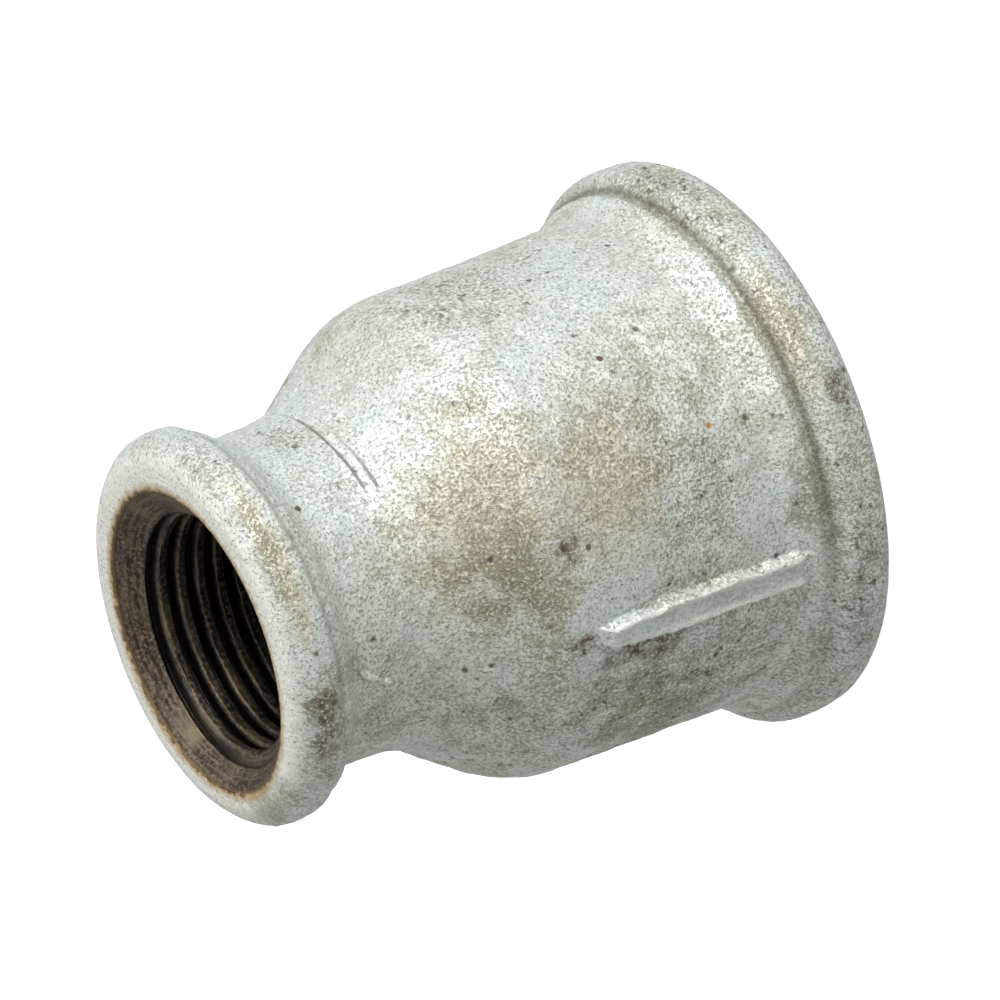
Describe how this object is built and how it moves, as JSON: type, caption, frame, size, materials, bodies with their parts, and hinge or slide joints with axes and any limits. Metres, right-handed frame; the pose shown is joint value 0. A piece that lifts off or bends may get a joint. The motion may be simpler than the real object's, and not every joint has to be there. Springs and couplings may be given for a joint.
{
  "type": "concentric reducer",
  "caption": "Galvanised iron concentric reducing socket with beaded ends, two grip ribs and a parallel pipe thread tapped in from each end.",
  "frame": {"origin": "centre of the large end's face", "axes": "+Z along the passage, from the large end to the small end; the two ribs are on -X and +X"},
  "size_m": [0.036, 0.036, 0.039],
  "materials": {
    "galvanised_iron": "hot-dip galvanised, satin, with bare tapped threads"
  },
  "bodies": {
    "root": {"reducer_body": "galvanised_iron"}
  },
  "joints": []
}
